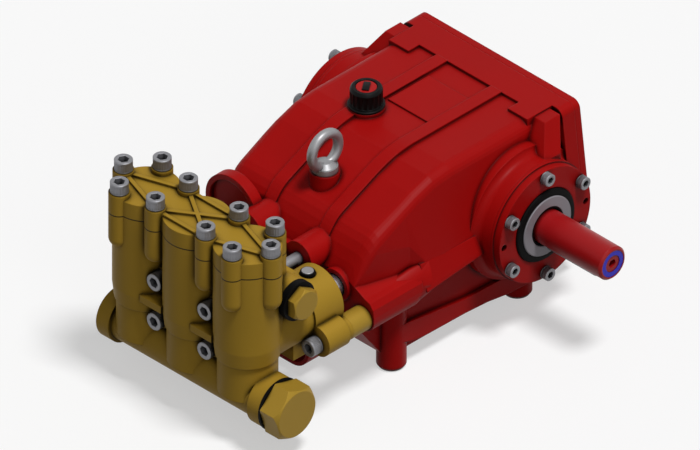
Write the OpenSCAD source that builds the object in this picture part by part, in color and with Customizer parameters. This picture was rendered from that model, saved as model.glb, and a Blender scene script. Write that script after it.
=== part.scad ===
// Triplex plunger pump: a ribbed cast crankcase with a keyed drive shaft at one side,
// and a brass valve block carried on long tie bolts in front of it.
// Upper pieces are drawn from the crankshaft: +X drive end, -Y valve end, +Z up.

/* [Layout] */
// Height of the crankshaft above the soles of the feet
shaft_height = 110; // [106:1:118]
// Distance of the crankshaft behind the middle of the four feet
shaft_back = 68.5; // [66:0.5:71]
// Distance between neighbouring plungers
plunger_pitch = 67; // [66:0.5:68]
// Crankshaft to the front face of the crankcase
case_front = 205; // [200:1:210]
// Crankshaft to the joint of the rear cover
case_rear = 70.4; // [69:0.2:74]
// Open space between the crankcase and the seal casing
open_gap = 24; // [20:1:30]
// Length of the seal tubes behind the casing flange
seal_tube_length = 19; // [17:1:24]
// Thickness of the casing flange
casing_flange = 18; // [16:1:20]
// Casing joint to the axes of the valve cylinders
cylinder_ahead = 59; // [57:1:62]

/* [Crankcase] */
// Height of the roof above the crankshaft
roof_height = 85; // [84:0.5:87]
// Half width of the case at the shoulders
shoulder_half = 95; // [93:0.5:97]
// Half width of the shoulders at the front face
front_half = 87; // [85:0.5:89]
// Rounding between the roof and the side walls
shoulder_r = 13; // [10:0.5:15]
// Rounding of the shoulders at the nose
nose_shoulder_r = 15; // [12:0.5:17]
// Half width at the foot of the side walls
wall_foot = 108; // [107:0.5:109]
// Distance in front of the crankshaft where the lower wall has drawn in
neck_forward = 142; // [136:1:145]
// Half width at the foot of the side wall at the neck
neck_foot = 100; // [98:0.5:101]
// Half width at the foot of the side wall at the front face
front_foot = 88.5; // [87:0.5:91]
// Height of the foot of the side wall above the crankshaft
wall_foot_z = 6; // [5:0.5:8]
// Height at which the drawn-in wall meets the flared one
flare_top = 27; // [22:1:32]
// Forward reach of the level part of the roof
roof_flat = 81; // [78:1:84]
// Radius of the bend from level roof to sloping roof
roof_bend_r = 110; // [100:5:125]
// Slope of the roof towards the front, in degrees
roof_slope = 24.5; // [23:0.5:26]
// Length of the rounded nose behind the front face
nose_length = 30; // [26:1:34]
// Height of the top edge of the front face above the crankshaft
nose_height = 12; // [10:0.5:14]
// How far the side bead stands out beyond the foot of the wall
bead_out = 8; // [6:0.5:10]
// Depth of the bead's lower edge below the crankshaft at the front face
bead_drop = 29; // [27:0.5:31]
// Rise of the bead's lower edge for each millimetre towards the rear
bead_rise = 0.106; // [0.09:0.002:0.12]
// Half width of the lower walls
lower_half = 95; // [93:0.5:96]
// Height of the sump floor above the soles
sump_clear = 20; // [16:1:24]
// Depth of the front face below the crankshaft
front_face_drop = 36; // [34:1:40]

/* [Rear deck and cover] */
// Height of the rear deck above the crankshaft
deck_height = 87.6; // [87.2:0.2:90]
// Half width of the rear deck at its top
deck_half = 106; // [104:0.5:108]
// Half width of the rear flange at the crankshaft
flange_half = 115.6; // [113:0.5:118]
// Length of the rear deck
deck_length = 34.4; // [31:0.2:38]
// Thickness of the rear cover
rear_cover_t = 7.6; // [6:0.2:10]
// Corner radius of the rear flange
flange_corner_r = 9; // [6:0.5:12]
// Number of screws along the top and the bottom of the rear cover
rear_screw_count = 4; // [3:1:5]

/* [Roof details] */
// Distance of each roof rib from the middle
rib_offset = 36; // [34:0.5:38]
// Width of a roof rib
rib_w = 14.5; // [12:0.5:16]
// Height of a roof rib
rib_h = 3; // [2:0.5:4]
// Width of the flat pad between the ribs
pad_w = 55; // [45:1:58]
// Length of the flat pad
pad_l = 54; // [45:1:60]
// Height of the flat pad
pad_h = 1.5; // [1:0.25:2.5]

/* [Feet] */
// Distance between the feet across the pump
foot_span_x = 170; // [166:1:174]
// Distance between the feet along the pump
foot_span_y = 167; // [164:1:170]
// Radius of a foot
foot_r = 14.5; // [13.5:0.5:16]
// Radius of the threaded hole in a foot
foot_hole_r = 5.1; // [4.2:0.1:6]
// Depth of the threaded hole in a foot
foot_hole_depth = 22; // [16:1:26]
// Outer face of the side webs between the feet
web_half = 99.5; // [98:0.5:99.5]
// Height of a side web's lower edge above the soles, at the rear foot
web_rear_clear = 16; // [14:0.5:18]
// Height of the lower edge in the middle of a side web
web_mid_clear = 23.5; // [21:0.5:25]
// Height of the lower edge at the front foot
web_front_clear = 31; // [28:0.5:33]

/* [Bearing housings] */
// Radius of a bearing housing and its cover
housing_r = 62; // [60:0.5:63]
// How far a bearing housing stands out beyond the side bead
housing_out = 10; // [8:0.5:13]
// Fillet at the root of a housing
housing_fillet = 8; // [5:0.5:9]
// Thickness of a bearing cover
cover_t = 11; // [9:0.5:13]
// Radius of the circle of cover screws
cover_screw_circle = 54.2; // [53:0.2:55]
// Number of screws in a bearing cover
cover_screw_count = 6; // [6:1:6]

/* [Shaft] */
// Radius of the drive shaft
shaft_r = 17.5; // [16:0.5:18.5]
// Step from the free end of the shaft up to the journal in the seal
journal_step = 0.8; // [0.4:0.1:1.2]
// Radius of the blue ring let into the end of the shaft
end_ring_r = 14; // [12:0.25:14.5]
// Radius of the threaded hole in the end of the shaft
shaft_hole_r = 4.25; // [3.4:0.05:5.1]
// Depth of the threaded hole in the end of the shaft
shaft_hole_depth = 22; // [16:1:28]
// How far the drive shaft stands out of its bearing cover
shaft_out = 90.5; // [86:0.5:98]
// Inner end of the shaft
shaft_start = 90; // [84:1:98]
// Width of the shaft key
key_w = 10; // [8:0.5:12]
// Height of the shaft key
key_h = 8; // [7:0.5:9]
// Height of the key above the shaft surface
key_proud = 3.3; // [2.5:0.1:4]
// Distance of the key from the bearing cover
key_gap = 5; // [3:0.5:8]
// Length of the key
key_l = 70; // [60:1:72]
// Outer radius of the shaft seal
seal_r = 31.5; // [29:0.5:33]
// Inner radius of the seal's metal ring
seal_bore_r = 20.5; // [20:0.25:22]
// Radius of the recess round the seal
seal_recess_r = 38.7; // [36:0.5:41]
// Depth of the recess round the seal
seal_recess = 3; // [2:0.5:4]
// Radial running clearance of the seal lip
lip_clear = 0.08; // [0.05:0.01:0.1]

/* [Filler cap and lifting eye] */
// Place of the filler cap across the pump
cap_x = -31; // [-33:0.5:-29]
// Place of the filler cap in front of the crankshaft
cap_forward = 69.3; // [66:0.5:73]
// Radius of the filler cap
cap_r = 17.25; // [15:0.25:19]
// Height of the filler cap
cap_h = 24; // [20:0.5:28]
// Number of grooves round the filler cap
cap_grooves = 24; // [18:1:26]
// Radius of the disc let into the cap
cap_disc_r = 11.85; // [10:0.25:13]
// Place of the lifting eye in front of the crankshaft
eye_forward = 155.2; // [152:0.5:158]
// Height of the lifting eye's seat above the crankshaft
eye_seat = 72.5; // [71:0.5:74]
// Radius of the boss under the lifting eye
eye_boss_r = 14.5; // [13.5:0.5:16]
// Inner radius of the eye
eye_bore_r = 12.5; // [11.5:0.5:14]
// Radius of the eye's bar
eye_bar_r = 5; // [4.5:0.25:6]
// Height of the eye's centre above its seat
eye_centre = 22.5; // [22:0.5:24]

/* [Drip tray] */
// Half width of the tray under the open gap
tray_half = 50; // [46:0.5:54]
// Depth of the tray's lower edge below the crankshaft
tray_drop = 101; // [98:0.5:105]
// Radius of the tray's lower corners
tray_corner_r = 22; // [18:0.5:25]
// Reach of the tray in front of the crankcase
tray_depth = 22; // [18:0.5:23]

/* [Valve block] */
// Radius of the valve cylinders
cylinder_r = 32.8; // [32:0.1:32.9]
// Height of the joint between block and cover
seam_height = 87; // [84:0.5:90]
// Depth of the lower edge of a valve cylinder
cylinder_drop = 18; // [16:0.5:21]
// Radius of a neck above the suction gallery
neck_r = 29; // [26:0.5:30]
// Depth of the suction gallery below the crankshaft
suction_drop = 58; // [56:0.5:61]
// Radius of the suction gallery
suction_r = 22.9; // [21.5:0.1:24]
// Radius of the end collars of the suction gallery
suction_collar_r = 26.6; // [26:0.1:27.5]
// Half length of the suction gallery
suction_half = 108; // [105:0.5:110]
// Core radius of the suction port
suction_port_r = 19.5; // [18:0.25:20]
// Height of the discharge gallery
discharge_height = 43; // [41:0.5:45]
// Distance of the discharge gallery behind the cylinder axes
discharge_behind = 30.5; // [29:0.5:32]
// Radius of the discharge gallery
discharge_r = 20; // [18:0.5:21]
// Half length of the discharge gallery
discharge_half = 98; // [96:0.5:100]
// Core radius of the discharge port
discharge_port_r = 12.3; // [11:0.1:13]
// Depth of both open ports
port_depth = 24; // [20:1:28]
// Thickness of the valve cover
valve_cover_t = 17.5; // [15:0.5:20]
// Radius of the screw bosses
boss_r = 10.5; // [10:0.1:11.5]
// Height of the screw bosses above the cover
boss_rise = 4.5; // [3:0.5:6]
// Height of the cover ribs above the cover
cover_rib_rise = 2.5; // [1.5:0.5:3]
// Depth of the screw bosses below the joint
boss_depth = 29; // [24:1:34]
// Screw at the ends of the cover, from the nearest cylinder axis
end_screw_x = 31; // [30:0.5:32]
// Screws beside the end cylinders, across, from the nearest cylinder axis
side_screw_x = 8; // [6:0.5:10]
// Screws beside the end cylinders, along
side_screw_y = 28.5; // [28:0.5:30]
// Screws between two cylinders, along
valley_screw_y = 22; // [21:0.5:23]

/* [Tie bolts] */
// Thread diameter of the tie bolts and head screws
big_screw = 12; // [11:0.5:13]
// Thread diameter of the cover screws
small_screw = 8; // [7:0.5:9]
// Height of the valley tie bolts above and below the crankshaft
tie_rise = 22.5; // [22:0.25:23.5]
// Distance of the corner tie bolts from the middle
corner_x = 100; // [98:0.5:102]
// Cylinder axes to the seats of the valley tie bolts
valley_seat_ahead = 13; // [11:0.5:14]
// Radius of the spacer sleeves
sleeve_r = 12.6; // [12:0.1:13.2]
// Radius of the corner tubes on the crankcase
corner_tube_r = 14.6; // [14:0.1:15.5]
// Length of the corner tubes
corner_tube_l = 58; // [54:1:62]
// Height of the shelf over a corner tube above the crankshaft
corner_shelf_z = -1; // [-3:0.5:1]
// Radius of the bosses round the upper valley tie bolts
tie_boss_r = 17; // [15:0.5:18]
// How far those bosses stand out in front of the crankcase
tie_boss_out = 19; // [15:0.5:19]
// Radius of the lobe in front of the left plunger
lip_r = 34; // [32:0.5:36]
// Height of the lobe's centre above the crankshaft
lip_rise = 20.5; // [19:0.5:23]
// Radius of the collars round the plungers
seal_collar_r = 17; // [16:0.5:19]
// How far those collars stand out in front of the crankcase
seal_collar_out = 4; // [3:0.5:8]
// Radius of the casing's ears round the corner tie bolts
ear_r = 16; // [15:0.5:17]
// Length of those ears
ear_l = 28; // [24:0.5:31]
// Radius of the plungers
plunger_r = 11; // [10:0.25:12]

/* [Plugs] */
// Width across the flats of the suction plug
suction_plug_af = 50; // [46:1:52]
// Length of the suction plug's head
suction_plug_l = 22; // [18:0.5:26]
// Width across the flats of the discharge plug
discharge_plug_af = 30; // [27:1:32]
// Length of the discharge plug's head
discharge_plug_l = 10; // [8:0.5:13]
// Thickness of the suction plug's sealing ring
suction_ring_t = 3; // [2:0.5:4]
// Thickness of the discharge plug's collar
discharge_ring_t = 7; // [5:0.5:9]
// Radius of the small plugs on the seal casing
casing_plug_r = 7.3; // [6.5:0.1:8]

/* [Hidden] */
$fn = 64;

red = "#a31113";
brass = "#a8843f";
steel = "#8c8c90";
black = "#141414";

// Clearances and small allowances
bolt_clear = 0.3;
overlap = 1;
slice = 0.1;
end_ring_t = 1;

// Places forward of the crankshaft
tube_front = case_front + open_gap;
flange_back = tube_front + seal_tube_length;
block_joint = flange_back + casing_flange;
cylinder_axis = block_joint + cylinder_ahead;
valley_seat = cylinder_axis + valley_seat_ahead;
tie_bolt_end = case_front - 25;
plunger_end = case_front - 10;
plungers = [-plunger_pitch, 0, plunger_pitch];
valleys = [-plunger_pitch / 2, plunger_pitch / 2];
sump_floor = sump_clear - shaft_height;
bead_half = wall_foot + bead_out;
housing_half = bead_half + housing_out;
cover_face = housing_half + cover_t;
shaft_end = cover_face + shaft_out;
key_start = cover_face + key_gap;
bearing_seat_r = seal_r - 2.5;
journal_r = shaft_r + journal_step;
journal_end = cover_face - seal_recess - 0.5;
tie_hole_r = big_screw / 2 + bolt_clear;
big_head_r = 0.75 * big_screw;
casing_plug_y = flange_back - 2.7;

// Roof line: level, then an arc, then a straight slope down to the nose
bend_run = roof_bend_r * sin(roof_slope);
bend_drop = roof_bend_r * (1 - cos(roof_slope));
function roof_bend(f) = roof_height - roof_bend_r + sqrt(roof_bend_r ^ 2 - (f - roof_flat) ^ 2);
nose_start = case_front - nose_length;
function slope_at(f) = roof_height - bend_drop - (f - roof_flat - bend_run) * tan(roof_slope);
function nose_share(f) = (max(0, f - nose_start) / nose_length) ^ 2;
function roof_straight(f) = slope_at(f) - (slope_at(case_front) - nose_height) * nose_share(f);
function roof_at(f) = f <= roof_flat ? roof_height
    : f < roof_flat + bend_run ? roof_bend(f) : roof_straight(f);
function bead_low(f) = -bead_drop + bead_rise * (case_front - f);

// Places of the ten cover screws, from the middle cylinder
function mirrored_pair(x, y) = [[x, y], [-x, y]];
cover_screws = concat(
    mirrored_pair(plunger_pitch + end_screw_x, 0),
    mirrored_pair(plunger_pitch + side_screw_x, side_screw_y),
    mirrored_pair(plunger_pitch + side_screw_x, -side_screw_y),
    mirrored_pair(plunger_pitch / 2, valley_screw_y),
    mirrored_pair(plunger_pitch / 2, -valley_screw_y));

// Moves pieces drawn from the crankshaft to their place above the feet
module at_shaft() {
    translate([0, shaft_back, shaft_height]) children();
}

module both_sides() {
    children();
    mirror([1, 0, 0]) children();
}

// A round bar along X between two places
module bar_x(from, to, r) {
    translate([from, 0, 0]) rotate([0, 90, 0]) cylinder(h = to - from, r = r);
}

// A round bar along Y, from one distance forward of the crankshaft to a smaller one
module bar_y(front, back, r) {
    translate([0, -front, 0]) rotate([-90, 0, 0]) cylinder(h = front - back, r = r);
}

// A side outline, drawn as forward distance and height, made into a plate along X
module side_plate(from, to) {
    translate([from, 0, 0]) rotate([90, 0, 90]) linear_extrude(to - from) mirror([1, 0]) children();
}

// A front outline, drawn across and up, made into a plate along Y
module front_plate(front, back) {
    translate([0, -back, 0]) rotate([90, 0, 0]) linear_extrude(front - back) children();
}

// A socket head screw standing on its seat, with its shank pointing down
module socket_screw(d, head_d, shank) {
    difference() {
        union() {
            cylinder(h = d, d = head_d);
            translate([0, 0, -shank]) cylinder(h = shank + overlap, d = d);
        }
        translate([0, 0, d * 0.4]) cylinder(h = d, d = 0.92 * d, $fn = 6);
    }
}

module big_socket_screw(shank) {
    socket_screw(big_screw, 2 * big_head_r, shank);
}

module small_socket_screw(shank) {
    socket_screw(small_screw, 1.62 * small_screw, shank);
}

// A hexagon head along Z whose outer corners are turned down to a circle
module hex_head(af, length) {
    corner_r = af / sqrt(3);
    intersection() {
        cylinder(h = length, r = corner_r, $fn = 6);
        cylinder(h = length, r1 = corner_r + length * 0.9, r2 = af * 0.48);
    }
}

// Outline across the case at one distance in front of the crankshaft, from its right half
module case_slice(f, side) {
    translate([0, -f, 0]) rotate([90, 0, 0]) linear_extrude(slice)
        polygon(concat(side, [for (i = [len(side) - 1:-1:0]) [-side[i][0], side[i][1]]]));
}

// The wall ends a little above the bead's lower face, inside the bead
module upper_section(f, half, r, foot, foot_z) {
    top = roof_at(f);
    case_slice(f, concat([[foot, bead_low(f) + 1.5], [foot, foot_z]],
        [for (a = [90:-15:0]) [half - r + r * sin(a), top - r + r * cos(a)]]));
}

module bead_section(f, foot) {
    low = bead_low(f);
    case_slice(f, [[bead_half, low], [bead_half - 1, low + 4], [foot, wall_foot_z]]);
}

// The roof, shoulders and walls as two lofts: the lower wall draws in just behind the neck
module upper_case() {
    flare_end = neck_forward - 14;
    hull() {
        for (f = [-case_rear + slice, roof_flat, roof_flat + bend_run / 2, flare_end])
            upper_section(f, shoulder_half, shoulder_r, wall_foot - (f < flare_end ? 0 : 1.5), wall_foot_z);
        upper_section(neck_forward, shoulder_half, shoulder_r, neck_foot, flare_top);
    }
    hull() {
        upper_section(neck_forward, shoulder_half, shoulder_r, neck_foot, flare_top);
        for (t = [0:0.2:1])
            let (f = nose_start + (nose_length - slice) * t)
                upper_section(f, shoulder_half - (shoulder_half - front_half) * nose_share(f), nose_shoulder_r,
                    neck_foot - (neck_foot - front_foot) * (f - neck_forward) / (case_front - neck_forward),
                    wall_foot_z);
    }
}

// The bead that runs along each side wall as far as the corner tube
module side_bead() {
    hull() {
        bead_section(-case_rear + slice, wall_foot);
        bead_section(case_front - corner_tube_l - 12, wall_foot - 1.5);
    }
}

// The sump below the bead, sloping up to the front face
module lower_case() {
    foot_front = foot_span_y / 2 + shaft_back;
    side_plate(-lower_half, lower_half)
        polygon([[-case_rear, 0], [-case_rear, sump_floor + 12], [-case_rear + 12, sump_floor],
            [foot_front, sump_floor], [foot_front, 0]]);
    side_plate(-foot_span_x / 2, foot_span_x / 2)
        polygon([[0, 0], [0, sump_floor], [foot_front + foot_r, sump_floor],
            [case_front, -front_face_drop], [case_front, 0]]);
}

// The thick rear flange: its top is the raised deck behind the ribs
module rear_outline(grow) {
    hull() {
        for (side = [-1, 1]) {
            translate([side * (deck_half - flange_corner_r), deck_height - flange_corner_r])
                circle(r = flange_corner_r + grow, $fn = 32);
            translate([side * (flange_half - flange_corner_r), 0])
                circle(r = flange_corner_r + grow, $fn = 32);
            translate([side * (lower_half + 8 - flange_corner_r), sump_floor + flange_corner_r])
                circle(r = flange_corner_r + grow, $fn = 32);
        }
    }
}

module rear_flange() {
    deck_front = -case_rear + deck_length;
    front_plate(-case_rear + 16, -case_rear) rear_outline(0);
    front_plate(deck_front, -case_rear) translate([-70, 0]) square([140, deck_height]);
    both_sides() front_plate(deck_front + 14.5, -case_rear)
        translate([66, roof_height - 14]) square([26, deck_height - roof_height + 14]);
}

// A rib that follows the roof line and ends at the nose
module roof_rib() {
    rear = -case_rear + deck_length - overlap;
    front = case_front - 13;
    stations = concat([rear], [for (i = [0:8]) roof_flat + bend_run * i / 8],
        [for (i = [0:5]) nose_start + (front - nose_start) * i / 5]);
    crest = [for (f = stations) [f, roof_at(f) + rib_h]];
    side_plate(rib_offset - rib_w / 2, rib_offset + rib_w / 2)
        polygon(concat(crest, [[front + 6, roof_at(front) - 8], [front, 0], [rear, 0]]));
}

// Housing on a low boss, with a concave fillet between them that starts just inside the side wall
module bearing_housing() {
    root = wall_foot - 1;
    rotate([0, 90, 0]) {
        cylinder(h = housing_half, r = housing_r);
        rotate_extrude() difference() {
            square([housing_r + housing_fillet, root + housing_fillet]);
            translate([housing_r + housing_fillet, root + housing_fillet]) circle(r = housing_fillet);
        }
    }
}

// Web from the rear deck down to the top of a bearing housing
module deck_web() {
    hull() {
        translate([deck_half - 19, 31, roof_height - 8]) cube([19, 20, 9]);
        translate([deck_half - 9, 13, housing_r - 12]) cube([housing_half - deck_half + 6, 22, 8]);
    }
}

// Tube on a front corner for the thread of a corner tie bolt, with a shelf up to the side wall
module corner_tube() {
    translate([corner_x, 0, -tie_rise]) {
        bar_y(case_front, case_front - corner_tube_l, corner_tube_r);
        translate([0, -case_front + corner_tube_l, 0]) sphere(r = corner_tube_r);
    }
    front_plate(case_front, case_front - corner_tube_l - 8)
        polygon([[front_foot - 8, -tie_rise], [front_foot - 8, wall_foot_z], [front_foot + 1, wall_foot_z],
            [corner_x + 3, corner_shelf_z], [corner_x + 9, corner_shelf_z - 2],
            [corner_x + corner_tube_r - 1, corner_shelf_z - 8], [corner_x + corner_tube_r, -tie_rise + 5],
            [corner_x + corner_tube_r, -tie_rise]]);
}

module foot(y) {
    translate([foot_span_x / 2, y, 0]) {
        translate([0, 0, 3]) cylinder(h = shaft_height - 40, r = foot_r);
        cylinder(h = 3, r1 = foot_r - 2, r2 = foot_r);
    }
}

// Web between the two feet of one side; its lower edge rises towards the front foot
module side_web() {
    front_y = -foot_span_y / 2;
    back_y = foot_span_y / 2;
    translate([web_half - 14, 0, 0]) rotate([90, 0, 90]) linear_extrude(14)
        polygon([[front_y, web_front_clear], [front_y + 14, web_front_clear - 4], [front_y + 29, web_mid_clear + 1],
            [0, web_mid_clear], [30, web_mid_clear - 2], [back_y - 25, web_rear_clear + 1], [back_y, web_rear_clear],
            [back_y, 37], [0, 40], [front_y + 20, 49], [front_y, 51.5]]);
}

// Round lobe with a raised lip in front of the left plunger
module lobe_lip() {
    translate([-plunger_pitch - 4, 0, lip_rise]) difference() {
        bar_y(case_front + 4, case_front - 8, lip_r);
        bar_y(case_front + 5, case_front, lip_r - 5.5);
    }
}

// Bosses on the front face for the upper tie bolts, and collars round the plungers
module front_bosses() {
    for (x = valleys) translate([x, 0, tie_rise]) bar_y(case_front + tie_boss_out, case_front - 25, tie_boss_r);
    for (x = plungers) translate([x, 0, 0]) bar_y(case_front + seal_collar_out, case_front - 5, seal_collar_r);
}

module foot_holes() {
    for (x = [-1, 1], y = [-1, 1])
        translate([x * foot_span_x / 2, y * foot_span_y / 2, -overlap])
            cylinder(h = foot_hole_depth + overlap, r = foot_hole_r);
}

module crankcase() {
    color(red) difference() {
        union() {
            at_shaft() {
                upper_case();
                side_bead();
                lower_case();
                rear_flange();
                both_sides() roof_rib();
                both_sides() bearing_housing();
                both_sides() deck_web();
                both_sides() corner_tube();
                lobe_lip();
                front_bosses();
                translate([-pad_w / 2 + 2, -46, roof_height - overlap]) cube([pad_w, pad_l, pad_h + overlap]);
                translate([0, -eye_forward, 0]) cylinder(h = eye_seat, r = eye_boss_r);
                translate([cap_x, -cap_forward, 0]) cylinder(h = roof_height + rib_h + 1, r = cap_r + 1);
            }
            both_sides() foot(foot_span_y / 2);
            both_sides() foot(-foot_span_y / 2);
            both_sides() side_web();
        }
        foot_holes();
        at_shaft() {
            for (x = plungers) translate([x, 0, 0])
                bar_y(case_front + seal_collar_out + overlap, plunger_end, plunger_r + 1.5);
            for (x = valleys, z = [-tie_rise, tie_rise])
                translate([x, 0, z]) bar_y(case_front + tie_boss_out + overlap, tie_bolt_end, tie_hole_r);
            for (x = [-corner_x, corner_x])
                translate([x, 0, -tie_rise]) bar_y(case_front + overlap, tie_bolt_end, tie_hole_r);
            bar_x(shaft_start - 2, housing_half + overlap, journal_r + 2);
            both_sides() cover_screw_places() translate([0, 0, -15])
                cylinder(h = 16, r = small_screw / 2 + bolt_clear);
        }
    }
}

// Screw places on the face of the right bearing housing, with +Z pointing outwards
module cover_screw_places() {
    for (i = [0:cover_screw_count - 1])
        translate([housing_half, 0, 0]) rotate([i * 360 / cover_screw_count, 0, 0])
            translate([0, 0, cover_screw_circle]) rotate([0, 90, 0]) children();
}

module bearing_cover(with_shaft) {
    difference() {
        union() {
            bar_x(housing_half, housing_half + 3, housing_r);
            bar_x(housing_half + 3, cover_face, housing_r - 1.5);
        }
        cover_screw_places() translate([0, 0, -overlap])
            cylinder(h = cover_t + 2 * overlap, r = small_screw / 2 + bolt_clear);
        for (y = [-1, 1]) translate([0, y * cover_screw_circle, 0])
            bar_x(cover_face - 8, cover_face + overlap, small_screw / 2 - 0.6);
        if (with_shaft) {
            bar_x(housing_half - overlap, cover_face + overlap, bearing_seat_r);
            bar_x(housing_half + 2, cover_face + overlap, seal_r);
            bar_x(cover_face - seal_recess, cover_face + overlap, seal_recess_r);
        }
    }
}

module bearing_cover_right() {
    color(red) at_shaft() bearing_cover(true);
}

module bearing_cover_left() {
    color(red) at_shaft() mirror([1, 0, 0]) bearing_cover(false);
}

module cover_screws_right() {
    color(steel) at_shaft() cover_screw_places() translate([0, 0, cover_t]) small_socket_screw(cover_t + 12);
}

module cover_screws_left() {
    color(steel) at_shaft() mirror([1, 0, 0]) cover_screw_places()
        translate([0, 0, cover_t]) small_socket_screw(cover_t + 12);
}

module shaft_seal() {
    color(steel) at_shaft() difference() {
        bar_x(housing_half + 2, cover_face - seal_recess - 0.5, seal_r);
        bar_x(housing_half, cover_face, seal_bore_r);
    }
}

module shaft_seal_lip() {
    color(black) at_shaft() difference() {
        bar_x(housing_half + 3, cover_face - seal_recess - 1.5, seal_bore_r);
        bar_x(housing_half, cover_face, journal_r + lip_clear);
    }
}

// Free end with a chamfer, a recess for the blue ring and a threaded hole; the journal is a little larger
module drive_shaft() {
    chamfer = 2;
    color(red) at_shaft() difference() {
        union() {
            bar_x(shaft_start, journal_end, journal_r);
            bar_x(shaft_start, shaft_end - chamfer, shaft_r);
            translate([shaft_end - chamfer, 0, 0]) rotate([0, 90, 0])
                cylinder(h = chamfer, r1 = shaft_r, r2 = shaft_r - chamfer);
        }
        bar_x(shaft_end - shaft_hole_depth, shaft_end + overlap, shaft_hole_r);
        bar_x(shaft_end - end_ring_t, shaft_end + overlap, end_ring_r);
        key_slot(bolt_clear / 3);
    }
}

module shaft_end_ring() {
    color("#3a30c0") at_shaft() difference() {
        bar_x(shaft_end - end_ring_t, shaft_end - 0.3, end_ring_r - 0.1);
        bar_x(shaft_end - 2, shaft_end + overlap, end_ring_r - 5);
    }
}

// Round-ended slot for the key under the shaft; grow widens it for the fit
module key_slot(grow) {
    key_r = key_w / 2;
    translate([0, 0, -shaft_r - key_proud]) {
        translate([key_start + key_r, -key_r - grow, 0]) cube([key_l - key_w, key_w + 2 * grow, key_h]);
        for (x = [key_start + key_r, key_start + key_l - key_r])
            translate([x, 0, 0]) cylinder(h = key_h, r = key_r + grow);
    }
}

module shaft_key() {
    color(steel) at_shaft() key_slot(0);
}

module filler_cap() {
    seat = roof_height + rib_h + 1;
    color(black) at_shaft() translate([cap_x, -cap_forward, seat]) difference() {
        cylinder(h = cap_h, r = cap_r);
        for (i = [0:cap_grooves - 1]) rotate(i * 360 / cap_grooves)
            translate([cap_r + 0.4, 0, 2]) cylinder(h = cap_h, r = 1.3);
        translate([0, 0, cap_h - 2]) cylinder(h = 3, r = cap_disc_r + 0.1);
    }
}

module filler_cap_disc() {
    seat = roof_height + rib_h + 1 + cap_h;
    color(red) at_shaft() translate([cap_x, -cap_forward, seat - 2]) difference() {
        cylinder(h = 2, r = cap_disc_r);
        translate([0, 0, 1.5]) cube([3.4, 13, 2], center = true);
    }
}

module lifting_eye() {
    ring_r = eye_bore_r + eye_bar_r;
    color(steel) at_shaft() translate([0, -eye_forward, eye_seat]) {
        translate([0, 0, eye_centre]) rotate([0, 90, 0]) rotate_extrude()
            translate([ring_r, 0]) circle(r = eye_bar_r);
        cylinder(h = 6, r = eye_bore_r);
        translate([0, 0, 6]) cylinder(h = eye_bar_r - 1, r1 = eye_bore_r - 1.5, r2 = eye_bar_r + 1.5);
    }
}

module rear_screw_places() {
    half = (rear_screw_count - 1) / 2;
    step = 2 * (deck_half - 16) / (rear_screw_count - 1);
    for (i = [0:rear_screw_count - 1], z = [deck_height - 10, sump_floor + 10])
        translate([(i - half) * step, case_rear + rear_cover_t, z]) rotate([-90, 0, 0]) children();
}

module rear_cover() {
    color(red) at_shaft() difference() {
        front_plate(-case_rear, -case_rear - rear_cover_t) rear_outline(0);
        rear_screw_places() translate([0, 0, -rear_cover_t - overlap])
            cylinder(h = rear_cover_t + 2 * overlap, r = small_screw / 2 + bolt_clear);
    }
}

module rear_cover_screws() {
    color(steel) at_shaft() rear_screw_places() small_socket_screw(rear_cover_t - 0.5);
}

module oil_level_bezel() {
    color(steel) at_shaft() translate([0, case_rear + rear_cover_t, 0]) rotate([-90, 0, 0]) difference() {
        cylinder(h = 6, r = 16);
        translate([0, 0, 2]) cylinder(h = 5, r = 11.1);
    }
}

module oil_level_glass() {
    color("#d8c98a") at_shaft() translate([0, case_rear + rear_cover_t + 2, 0]) rotate([-90, 0, 0])
        cylinder(h = 3, r = 11);
}

module drain_plug() {
    color(steel) at_shaft() translate([0, case_rear + rear_cover_t, sump_floor + 22]) rotate([-90, 0, 0])
        hex_head(17, 8);
}

// Front outline of the tray, drawn in by the thickness of its wall
module tray_outline(inset) {
    hull() {
        for (side = [-1, 1]) translate([side * (tray_half - tray_corner_r), tray_corner_r - tray_drop])
            circle(r = tray_corner_r - inset, $fn = 32);
        translate([inset - tray_half, -front_face_drop]) square([2 * (tray_half - inset), 6 + inset]);
    }
}

module drip_tray() {
    wall = 4;
    color(red) at_shaft() difference() {
        front_plate(case_front + tray_depth, case_front) tray_outline(0);
        front_plate(case_front + tray_depth + 2, case_front + wall) tray_outline(wall);
    }
}

// Lower half of a screw boss: a round bar with a round end, hanging from the joint
module hanging_boss(depth) {
    translate([0, 0, seam_height - depth]) {
        cylinder(h = depth, r = boss_r);
        sphere(r = boss_r);
    }
}

module valve_cylinder() {
    taper_height = cylinder_drop - 1.5;
    translate([0, 0, -1.5]) cylinder(h = seam_height + 1.5, r = cylinder_r);
    translate([0, 0, -cylinder_drop]) cylinder(h = taper_height, r1 = cylinder_r - 1.8, r2 = cylinder_r);
    translate([0, 0, -suction_drop]) cylinder(h = suction_drop, r = neck_r);
}

module suction_gallery() {
    translate([0, 0, -suction_drop]) {
        bar_x(-suction_half, suction_half, suction_r);
        both_sides() bar_x(suction_half - 16, suction_half, suction_collar_r);
    }
}

// Ledge and bolt bosses in the valley between two cylinders
module valley_boss() {
    for (z = [-tie_rise, tie_rise]) translate([0, 0, z]) bar_y(valley_seat, block_joint, 11.5);
    translate([-14, -valley_seat - 16, -4]) cube([28, 30, 8]);
    translate([-20, -cylinder_axis, -suction_drop]) cube([40, 14, seam_height + suction_drop]);
    translate([-20, -cylinder_axis, -tie_rise - 11]) cube([40, cylinder_ahead, 2 * tie_rise + 22]);
}

module block_flange() {
    half = plunger_pitch + 18.7;
    front_plate(block_joint + 17, block_joint)
        polygon([[-half, -41], [half, -41], [half, 5], [half - 26, 31], [26 - half, 31], [-half, 5]]);
}

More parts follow.
